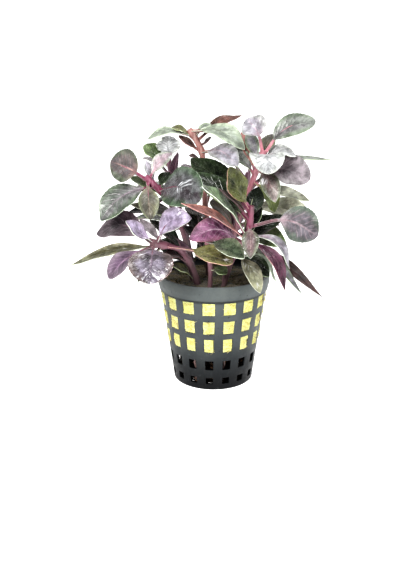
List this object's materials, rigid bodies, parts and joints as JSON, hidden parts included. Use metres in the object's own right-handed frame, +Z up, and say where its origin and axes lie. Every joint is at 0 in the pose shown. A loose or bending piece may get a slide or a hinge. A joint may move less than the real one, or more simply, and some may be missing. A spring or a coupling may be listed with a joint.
{
  "type": "potted cardinal flower",
  "caption": "Dwarf cardinal flower with round purple and silver-green leaves on magenta stems, rooted in a mineral wool plug in a slatted net pot.",
  "frame": {"origin": "centre of the pot's underside, on the plane that the pot stands on", "axes": "+Z up along the pot's axis, -Y towards the plant's front, +X to the right seen from the front"},
  "size_m": [0.1224, 0.0971, 0.1301],
  "materials": {
    "pot_plastic": "satin dark grey moulded plastic",
    "mineral_wool": "matt fibrous pale yellow, mossy on top",
    "root": "matt tan",
    "magenta": "smooth living stem",
    "mauve": "smooth living stem",
    "pink": "smooth living stem",
    "brown_pink": "smooth living stem",
    "grey_purple": "soft leaf, satin",
    "dark_purple": "soft leaf, satin",
    "silver_green": "soft leaf, wet gloss",
    "grey_green": "soft leaf, satin",
    "pale_green": "soft leaf, satin",
    "green": "soft leaf, satin",
    "dark_green": "soft leaf, glossy",
    "olive": "soft leaf, satin",
    "lavender": "soft leaf, satin",
    "brown_red": "soft leaf, satin",
    "magenta_leaf": "soft leaf, satin underside",
    "salmon": "soft leaf, satin underside"
  },
  "bodies": {
    "root": {"leaf_back_1": "grey_green", "leaf_back_2": "pale_green", "leaf_back_3": "green", "leaf_back_4": "grey_green", "leaf_back_5": "brown_red", "leaf_back_6": "grey_purple", "leaf_back_7": "grey_green", "leaf_back_8": "silver_green", "leaf_front_1": "dark_green", "leaf_left_back_1": "silver_green", "leaf_left_back_2": "green", "leaf_left_high_1": "grey_purple", "leaf_left_high_2": "lavender", "leaf_left_high_3": "silver_green", "leaf_left_high_4": "silver_green", "leaf_left_high_5": "olive", "leaf_left_low_1": "lavender", "leaf_left_low_2": "grey_purple", "leaf_left_low_3": "olive", "leaf_left_low_4": "grey_purple", "leaf_left_low_5": "silver_green", "leaf_left_low_6": "dark_purple", "leaf_left_low_7": "olive", "leaf_right_front_1": "dark_green", "leaf_right_front_10": "grey_purple", "leaf_right_front_11": "dark_green", "leaf_right_front_12": "olive", "leaf_right_front_2": "dark_green", "leaf_right_front_3": "olive", "leaf_right_front_4": "green", "leaf_right_front_5": "salmon", "leaf_right_front_6": "magenta_leaf", "leaf_right_front_7": "lavender", "leaf_right_front_8": "dark_purple", "leaf_right_front_9": "lavender", "leaf_right_high_1": "lavender", "leaf_right_high_2": "grey_green", "leaf_right_high_3": "silver_green", "leaf_right_high_4": "silver_green", "leaf_right_high_5": "dark_purple", "leaf_right_high_6": "grey_green", "leaf_right_high_7": "lavender", "leaf_right_high_8": "olive", "leaf_top_1": "pale_green", "leaf_top_2": "pale_green", "leaf_top_3": "brown_red", "leaf_top_4": "lavender", "leaf_top_5": "brown_red", "net_pot": "pot_plastic", "root_left": "root", "root_right": "root", "stem_back": "mauve", "stem_front": "pink", "stem_left_back": "mauve", "stem_left_high": "magenta", "stem_left_low": "magenta", "stem_right_front": "magenta", "stem_right_high": "pink", "stem_top": "brown_pink", "wool_plug": "mineral_wool"}
  },
  "joints": []
}
